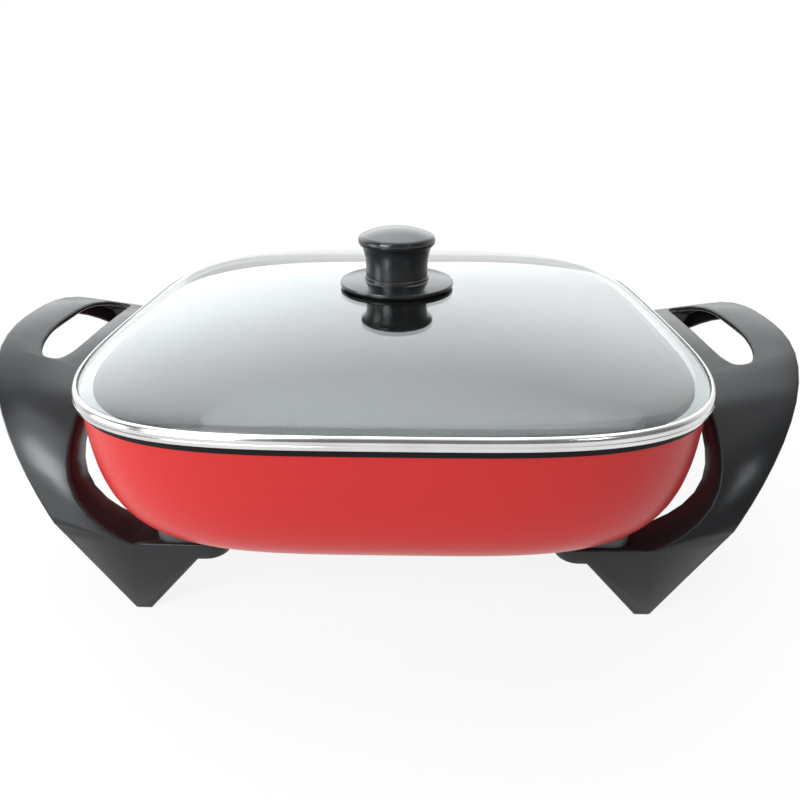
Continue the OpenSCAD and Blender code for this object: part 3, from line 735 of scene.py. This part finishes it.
class HOTPOT_OT_castings(bpy.types.Operator):
    """Casts the element's rib, the terminal block, the pads and the leg bosses on the outside of the pan"""

    bl_idname = "hotpot.castings"
    bl_label = "Castings"

    def execute(self, context):
        sizes, colours, _ = settings()
        enamel = enamel_finish(colours.enamel)
        under = SPACER_HIGH.z
        root = under + sizes.pan_wall / 2
        half = (ELEMENT_HIGH.z - ELEMENT_LOW.z) / 2
        middle = ELEMENT_LOW.z + half
        loop = -ELEMENT_LOW.x - half
        rib = half + sizes.rib_wall
        low = ELEMENT_LOW.z - sizes.rib_drop
        cast = turn_rows("pan_castings", [
            (loop + rib, low), (loop + rib, root), (loop - rib, root), (loop - rib, low),
        ], tube=True)

        block, face_x = GUARD_HIGH.y - sizes.block_inset, GUARD_LOW.x
        cover = sizes.probe_cover
        spine = PROBE_HIGH.y + cover
        # The block ends just under the pan's floor
        skin = under + sizes.pan_wall - 6 * TENTH
        for name, near, far in (
                ("block", (loop - rib, -block, PAN_LOW.z), (face_x, block, skin)),
                ("face", (sizes.block_start, -block, root), (face_x, block, root + sizes.block_step)),
                ("spine", (PROBE_LOW.x - cover, -spine, PAN_LOW.z), (face_x - cover, spine, root))):
            combine(cast, add_block(name, near, far), "UNION")

        reach = half + FIT_GAP
        depth = middle - PAN_LOW.z + OVERCUT
        # The corners start on the axes, and this turns each into its own quarter
        off_axis = 0.3

        def slot_section(angle):
            turned = angle + off_axis
            return (math.copysign(reach, math.cos(turned)), 0, reach if math.sin(turned) > 0 else -depth)

        combine(cast, sweep("groove", 4, slot_section, element_stops(), middle), "DIFFERENCE")
        well = add_rod("well", (PROBE_LOW.x - FIT_GAP, 0, middle), (face_x + OVERCUT, 0, middle),
                       PROBE_HIGH.y + FIT_GAP)
        combine(cast, well, "DIFFERENCE")
        soften(cast, CAST_EDGE, angle=50)
        smooth(cast)
        settle(cast, "base", enamel, [])

        inner = PAN_HIGH.y - sizes.pan_wall / 2
        for name, near, far in (("left", PAN_LOW.x, -inner), ("right", inner, PAN_HIGH.x)):
            pad = add_block("pan_pad_" + name, (near, -sizes.pad_half, sizes.pad_low),
                            (far, sizes.pad_half, sizes.pad_high))
            soften(pad, PAD_EDGE)
            smooth(pad)
            settle(pad, "base", enamel, [])

        # The bosses end in the middle of the pan's wall
        wall = PAN_HIGH.y - sizes.lip_overhang
        core_flat = wall - sizes.bottom_inset - sizes.pan_wall / 4
        core_rings = [wall_ring(turn, root, PAN_HIGH.z, core_flat, wall - sizes.pan_wall / 2)
                      for turn in reversed(WALL_TURNS)]
        halfway = (SPACER_LOW.z + SPACER_HIGH.z) / 2
        for name in ("left", "right"):
            bosses = copy_of(name + "_leg_spacers", "pan_bosses_" + name)
            for point in bosses.data.vertices:
                point.co.z = under + (sizes.boss_height if point.co.z > halfway else 0)
            soften(bosses, SPACER_EDGE)
            combine(bosses, raise_rings("core", core_rings, sizes.ring_points), "DIFFERENCE")
            smooth(bosses)
            settle(bosses, "base", enamel, [])
        return {"FINISHED"}


class HOTPOT_OT_handles(bpy.types.Operator):
    """Dresses the two mouldings that are handle and legs in one"""

    bl_idname = "hotpot.handles"
    bl_label = "Handles and legs"

    def execute(self, context):
        colours = settings()[1]
        for node in ("left_handle", "right_handle"):
            piece = copy_of(node, node + "_moulding")
            soften(piece, MOULDED_EDGE, angle=50, clamp=False)
            smooth(piece, angle=48)
            settle(piece, "base", plastic_finish(colours.plastic), [node])
        return {"FINISHED"}


class HOTPOT_OT_leg_fixings(bpy.types.Operator):
    """Dresses the spacers, washers and screws between the legs and the pan"""

    bl_idname = "hotpot.leg_fixings"
    bl_label = "Leg fixings"

    def execute(self, context):
        colours = settings()[1]
        steel = steel_finish(colours.steel)
        grey = plain_finish("grey_spacer", colours.spacer, metallic=0.0, rough=(0.45, 0.55),
                            grain=1400.0, patches=60.0, bump=0.12)
        for side in ("left", "right"):
            dress(side + "_leg_spacers", side + "_spacers", SPACER_EDGE, "base", grey)
            dress(side + "_leg_washers", side + "_washers", THIN_EDGE, "base", steel)
            dress(side + "_leg_screws", side + "_screws", SCREW_EDGE, "base", steel)
        return {"FINISHED"}


class HOTPOT_OT_heater(bpy.types.Operator):
    """Bends the element and dresses its pins, beads and the probe well"""

    bl_idname = "hotpot.heater"
    bl_label = "Heater"

    def execute(self, context):
        colours = settings()[1]
        section_points = 24
        half = (ELEMENT_HIGH.z - ELEMENT_LOW.z) / 2
        element = sweep("element_tube", section_points,
                        lambda angle: (half * math.cos(angle), 0, half * math.sin(angle)),
                        element_stops(), ELEMENT_LOW.z + half)
        smooth(element)
        sheath = plain_finish("dark_sheath", colours.sheath, metallic=1.0, rough=(0.42, 0.58),
                              grain=1600.0, patches=70.0, bump=0.10)
        settle(element, "base", sheath, ["heating_element"])
        ceramic = plain_finish("fired_ceramic", colours.ceramic, metallic=0.0, rough=(0.62, 0.78),
                               grain=1500.0, patches=200.0, bump=0.15)
        dress("terminal_pins", "power_pins", PIN_EDGE, "base", brass_finish(colours.brass))
        dress("terminal_insulators", "pin_beads", PIN_EDGE, "base", ceramic)
        dress("probe_well", "probe_tube", PIN_EDGE, "base", steel_finish(colours.steel))
        return {"FINISHED"}


class HOTPOT_OT_socket(bpy.types.Operator):
    """Dresses the guard round the pins, its screws and the earth strip"""

    bl_idname = "hotpot.socket"
    bl_label = "Socket"

    def execute(self, context):
        colours = settings()[1]
        steel = steel_finish(colours.steel)
        dress("socket_guard", "pin_guard", THIN_EDGE, "base", steel)
        dress("socket_guard_screws", "guard_screws", THIN_EDGE, "base", steel)
        dress("earth_spring", "earth_strip", THIN_EDGE, "base", brass_finish(colours.brass))
        return {"FINISHED"}


class HOTPOT_OT_lid_band(bpy.types.Operator):
    """Rolls the steel band round the edge of the glass"""

    bl_idname = "hotpot.lid_band"
    bl_label = "Lid band"

    def execute(self, context):
        sizes, colours, _ = settings()
        sheet, turn, crease = sizes.sheet, sizes.band_turn, sizes.band_crease
        roll, tall = sizes.band_roll, sizes.roll_height
        wide, top = RIM_HIGH.y, RIM_HIGH.z
        base = top - sizes.band_height
        skirt = PAN_HIGH.y - sizes.lip_overhang - sizes.pan_wall - sizes.skirt_gap
        lip = wide - sizes.band_lip
        rows = [(wide - turn, base)]
        for angle in arc(-60, 0, 30):
            rows.append((wide - turn + turn * math.cos(angle), base + turn + turn * math.sin(angle)))
        rows += [(wide, top - tall - 3 * crease), (wide - crease, top - tall - 2 * crease),
                 (wide - crease, top - tall - crease)]
        for angle in arc(0, 90, 10):
            rows.append((wide - roll + roll * math.cos(angle), top - tall + tall * math.sin(angle)))
        rows += [
            (lip + TENTH, top), (lip, top - 2 * TENTH), (lip, top - sheet),
            (wide - sheet, top - sheet), (wide - sheet, base + sheet),
            (skirt - sheet, base + sheet), (skirt - sheet, RIM_LOW.z), (skirt, RIM_LOW.z), (skirt, base),
        ]
        rings = [(half, height, sizes.plan_power) for half, height in rows]
        band = raise_rings("lid_band", rings, sizes.ring_points, tube=True)
        smooth(band, angle=32)
        polished = plain_finish("polished_band", colours.band, metallic=1.0, rough=(0.12, 0.18),
                                grain=900.0, patches=25.0, bump=0.02)
        # Inner faces low in the band: duller, rougher steel, with its colour darkened to 0.45 as painted
        # shade between band, glass and pan
        shaded = shade_of(colours.band, factor=0.45)
        dull_shaded = plain_finish("dull_shaded_fold", shaded, metallic=1.0, rough=(0.42, 0.50),
                            grain=900.0, patches=25.0, bump=0.04)
        settle(band, "lid", polished, ["lid_rim"])
        band.data.materials.append(dull_shaded)
        # Faces that look up or into the pot low in the band take the rough steel with painted shade
        for face in band.data.polygons:
            inside = face.normal.z > FACING_UP or outward_lean(face) < 0
            if inside and face.center.z < base + 2 * sheet:
                face.material_index = 1
        return {"FINISHED"}


class HOTPOT_OT_lid_glass(bpy.types.Operator):
    """Domes the lid's glass"""

    bl_idname = "hotpot.lid_glass"
    bl_label = "Lid glass"

    def execute(self, context):
        sizes, colours, _ = settings()
        steps, bunching = 40, 1.8
        plan, bore = sizes.plan_power, sizes.glass_bore
        edge, low = GLASS_HIGH.y, GLASS_LOW.z
        high = low + sizes.glass_thickness
        dome = RIM_HIGH.y - sizes.band_lip - FIT_GAP
        crown = (FLANGE_HIGH.y + sizes.crown_margin) / dome
        shares = [1 - (1 - crown) * (1 - step / steps) ** bunching for step in range(steps + 1)]

        def rise(share):
            return (sizes.shoulder * (1 - share ** sizes.shoulder_power)
                    + sizes.dome * (1 - share ** sizes.dome_power))

        def dome_ring(share, height):
            return (dome * share, height + rise(share), ROUND + (plan - ROUND) * share)

        rings = [(bore, low + rise(crown), ROUND)]
        rings += [dome_ring(share, low) for share in shares]
        rings += [(edge, low, plan), (edge, high, plan)]
        rings += [dome_ring(share, high) for share in reversed(shares)]
        rings += [(bore, high + rise(crown), ROUND)]
        glass = raise_rings("lid_dome", rings, sizes.ring_points, tube=True)
        smooth(glass, angle=40)
        settle(glass, "lid", glass_finish(colours.glass), ["lid_glass"])
        return {"FINISHED"}


class HOTPOT_OT_knob(bpy.types.Operator):
    """Turns the knob and its flange"""

    bl_idname = "hotpot.knob"
    bl_label = "Knob"

    def execute(self, context):
        sizes, colours, _ = settings()
        plastic = gloss_finish(colours.plastic)
        neck, hub = sizes.neck_radius, sizes.neck_radius + 6 * TENTH
        wide, low, top = FLANGE_HIGH.y, FLANGE_LOW.z, FLANGE_HIGH.z
        disc = low + sizes.flange_disc
        flange = turn_rows("knob_disc", [
            (sizes.flange_bore, low),
            (wide - 8 * TENTH, low), (wide - 2 * TENTH, low + 3 * TENTH), (wide, low + 8 * TENTH),
            (wide, disc - 13 * TENTH), (wide - 2 * TENTH, disc - 8 * TENTH),
            (wide - 9 * TENTH, disc - 5 * TENTH),
            (hub + 6 * TENTH, disc), (hub + TENTH, disc + 4 * TENTH), (hub, top - 4 * TENTH),
            (hub - 4 * TENTH, top), (sizes.flange_bore, top),
        ], tube=True)
        smooth(flange, angle=32)
        settle(flange, "lid", plastic, ["knob_flange"])

        neck_steps, cap_steps, chamfer = 12, 16, 3 * TENTH
        edge_end = 75
        foot, crest = KNOB_LOW.z, KNOB_HIGH.z
        rim, edge = KNOB_HIGH.y, sizes.cap_edge / 2
        neck_top = crest - sizes.cap_rise - edge * (1 + math.sin(math.radians(edge_end)))
        rows = [(sizes.insert_radius, foot), (neck - chamfer, foot)]
        for step in range(neck_steps + 1):
            share = step / neck_steps
            height = foot + max(chamfer, (neck_top - foot) * share)
            rows.append((neck + sizes.neck_flare * share ** 3, height))
        for angle in arc(-60, edge_end, 9):
            rows.append((rim - edge + edge * math.cos(angle), neck_top + edge + edge * math.sin(angle)))
        brim, brim_top = rows[-1]
        for step in range(1, cap_steps):
            share = 1 - step / cap_steps
            rows.append((brim * share, brim_top + sizes.cap_rise * (1 - share ** sizes.cap_power)))
        knob = turn_rows("knob_cap", rows)
        smooth(knob, angle=40)
        settle(knob, "lid", plastic, ["knob"])
        return {"FINISHED"}


class HOTPOT_OT_knob_fixings(bpy.types.Operator):
    """Dresses the gaskets, washer, screw and insert that hold the knob"""

    bl_idname = "hotpot.knob_fixings"
    bl_label = "Knob fixings"

    def execute(self, context):
        colours = settings()[1]
        steel = steel_finish(colours.steel)
        silicone = plain_finish("white_silicone", colours.silicone, metallic=0.0, rough=(0.50, 0.62),
                                grain=1500.0, patches=120.0, bump=0.08)
        dress("knob_upper_gasket", "upper_gasket", THIN_EDGE, "lid", silicone)
        dress("knob_lower_gasket", "lower_gasket", THIN_EDGE, "lid", silicone)
        dress("knob_washer", "under_washer", THIN_EDGE, "lid", steel)
        dress("knob_screw", "under_screw", THIN_EDGE, "lid", steel)
        dress("knob_insert", "brass_insert", THIN_EDGE, "lid", brass_finish(colours.brass))
        return {"FINISHED"}


# Stage


def add_lamp(name, power, colour, place, aim, width, height, spread=180):
    """A soft rectangular lamp that faces a point and isn't seen; a smaller spread dims its far parts."""
    light = bpy.data.lights.new(name, "AREA")
    light.energy = power
    light.color = colour
    light.spread = math.radians(spread)
    light.shape = "RECTANGLE"
    light.size = width
    light.size_y = height
    lamp = bpy.data.objects.new(name, light)
    lamp.location = place
    lamp.rotation_euler = (Vector(aim) - Vector(place)).to_track_quat("-Z", "Y").to_euler()
    lamp.visible_camera = False
    bpy.context.scene.collection.objects.link(lamp)


def joined(tree, operation, first, second):
    """Two values put together by a Math node."""
    node = tree.nodes.new("ShaderNodeMath")
    node.operation = operation
    tree.links.new(first, node.inputs[0])
    tree.links.new(second, node.inputs[1])
    return node.outputs["Value"]


def ramp(tree, value, start, end, low=0.0, high=1.0):
    """A value that goes from low to high while the one it follows goes from start to end."""
    node = tree.nodes.new("ShaderNodeMapRange")
    for label, amount in (("From Min", start), ("From Max", end), ("To Min", low), ("To Max", high)):
        node.inputs[label].default_value = amount
    tree.links.new(value, node.inputs["Value"])
    return node.outputs["Result"]


def seen_rays(tree, mirrored):
    """1 on rays from the camera and through glass, and the mirrored value on rays off a gloss."""
    path = tree.nodes.new("ShaderNodeLightPath")
    direct = joined(tree, "MAXIMUM", path.outputs["Is Camera Ray"], path.outputs["Is Transmission Ray"])
    return joined(tree, "MAXIMUM", direct, joined(tree, "MINIMUM", path.outputs["Is Glossy Ray"], mirrored))


def paper_finish(colour):
    """Paper that keeps a shadow near the pot and fades to plain white further out."""
    shadow_end, white_start, shaded_white = 0.35, 1.1, 0.88
    paper, shader = start_finish("white_paper")
    shader.inputs["Base Color"].default_value = (*colour, 1)
    shader.inputs["Roughness"].default_value = 0.9
    tree = paper.node_tree
    glow = tree.nodes.new("ShaderNodeEmission")
    blend = tree.nodes.new("ShaderNodeMixShader")
    place = tree.nodes.new("ShaderNodeTexCoord")
    away = tree.nodes.new("ShaderNodeVectorMath")
    away.operation = "LENGTH"
    tree.links.new(place.outputs["Object"], away.inputs[0])
    white = ramp(tree, away.outputs["Value"], shadow_end, white_start, low=shaded_white)
    tree.links.new(joined(tree, "MINIMUM", white, seen_rays(tree, white)), blend.inputs["Fac"])
    tree.links.new(shader.outputs["BSDF"], blend.inputs[1])
    tree.links.new(glow.outputs["Emission"], blend.inputs[2])
    tree.links.new(blend.outputs["Shader"], tree.nodes["Material Output"].inputs["Surface"])
    return paper


def studio_world(ambient):
    """Even light, with a white backdrop behind and overhead for the camera, glass and gloss."""
    world = bpy.data.worlds.new("studio")
    world.use_nodes = True
    tree = world.node_tree
    place = tree.nodes.new("ShaderNodeTexCoord")
    heading = tree.nodes.new("ShaderNodeSeparateXYZ")
    tree.links.new(place.outputs["Generated"], heading.inputs["Vector"])
    behind = ramp(tree, heading.outputs["Y"], start=-0.2, end=0.4)
    overhead = ramp(tree, heading.outputs["Z"], start=0.74, end=0.87)
    backdrop = seen_rays(tree, joined(tree, "MAXIMUM", behind, overhead))
    background = tree.nodes["Background"]
    background.inputs["Color"].default_value = (1, 1, 1, 1)
    strength = ramp(tree, backdrop, start=0.0, end=1.0, low=ambient)
    tree.links.new(strength, background.inputs["Strength"])
    return world


class HOTPOT_OT_stage(bpy.types.Operator):
    """Sets the floor, the light and the camera"""

    bl_idname = "hotpot.stage"
    bl_label = "Stage"

    def execute(self, context):
        _, colours, stage = settings()
        scene = context.scene
        scene.view_settings.view_transform = "Standard"

        deselect()
        bpy.ops.mesh.primitive_plane_add(size=stage.floor_size)
        floor = context.active_object
        floor.name = floor.data.name = "floor"
        floor.data.materials.append(paper_finish(colours.paper))

        scene.world = studio_world(stage.ambient)
        cool = stage.lamp_colour
        add_lamp("key_lamp", stage.key_power, cool, width=0.75, height=1.6,
                 place=(-0.76, -1.01, 0.70), aim=(-0.17, -0.10, 0.075))
        add_lamp("leg_lamp", stage.leg_power, cool, width=0.20, height=0.12,
                 place=(-0.346, -0.436, 0.403), aim=(-0.169, -0.103, 0.075))
        add_lamp("left_lamp", stage.left_power, cool, width=0.5, height=0.5,
                 place=(-1.10, -0.35, 0.25), aim=(-0.14, -0.13, 0.09))
        add_lamp("side_lamp", stage.side_power, cool, width=0.10, height=0.10,
                 place=(0.41, -0.58, 0.48), aim=(0.178, -0.104, 0.074))
        add_lamp("back_lamp", stage.back_power, cool, width=4.2, height=2.4,
                 place=(0, 1.15, 1.25), aim=(0.45, 0, 0.13), spread=125)
        add_lamp("top_lamp", stage.top_power, cool, width=1.65, height=1.6,
                 place=(0.17, 0.66, 1.45), aim=(0.17, 0.66, 0), spread=100)

        camera = bpy.data.cameras.new("camera")
        camera.lens = stage.lens
        camera.sensor_width = 36
        camera.clip_start = 0.01
        eye = bpy.data.objects.new("camera", camera)
        eye.location = stage.camera_place
        eye.rotation_euler = stage.camera_turn
        scene.collection.objects.link(eye)
        scene.camera = eye
        return {"FINISHED"}


STEPS = (
    HOTPOT_OT_stage, HOTPOT_OT_pan, HOTPOT_OT_castings, HOTPOT_OT_handles, HOTPOT_OT_leg_fixings,
    HOTPOT_OT_heater, HOTPOT_OT_socket, HOTPOT_OT_lid_band, HOTPOT_OT_lid_glass, HOTPOT_OT_knob,
    HOTPOT_OT_knob_fixings,
)


class HOTPOT_PT_panel(bpy.types.Panel):
    """Lists the steps, sizes, colours and stage of the hot pot"""

    bl_idname = "HOTPOT_PT_panel"
    bl_label = "Hot Pot"
    bl_space_type = "VIEW_3D"
    bl_region_type = "UI"
    bl_category = "Hot Pot"

    def draw(self, context):
        for step in STEPS:
            self.layout.operator(step.bl_idname)
        for group in settings():
            box = self.layout.box()
            for label in group.__annotations__:
                box.prop(group, label)


GROUPS = (("hotpot_sizes", HotPotSizes), ("hotpot_colours", HotPotColours), ("hotpot_stage", HotPotStage))


def register():
    for name, group in GROUPS:
        bpy.utils.register_class(group)
        setattr(bpy.types.Scene, name, PointerProperty(type=group))
    for step in STEPS:
        bpy.utils.register_class(step)
    bpy.utils.register_class(HOTPOT_PT_panel)


def unregister():
    bpy.utils.unregister_class(HOTPOT_PT_panel)
    for step in reversed(STEPS):
        bpy.utils.unregister_class(step)
    for name, group in reversed(GROUPS):
        delattr(bpy.types.Scene, name)
        bpy.utils.unregister_class(group)


def main():
    register()
    bpy.ops.hotpot.stage()
    bpy.ops.hotpot.pan()
    bpy.ops.hotpot.castings()
    bpy.ops.hotpot.handles()
    bpy.ops.hotpot.leg_fixings()
    bpy.ops.hotpot.heater()
    bpy.ops.hotpot.socket()
    bpy.ops.hotpot.lid_band()
    bpy.ops.hotpot.lid_glass()
    bpy.ops.hotpot.knob()
    bpy.ops.hotpot.knob_fixings()
    deselect()


if __name__ == "__main__":
    main()
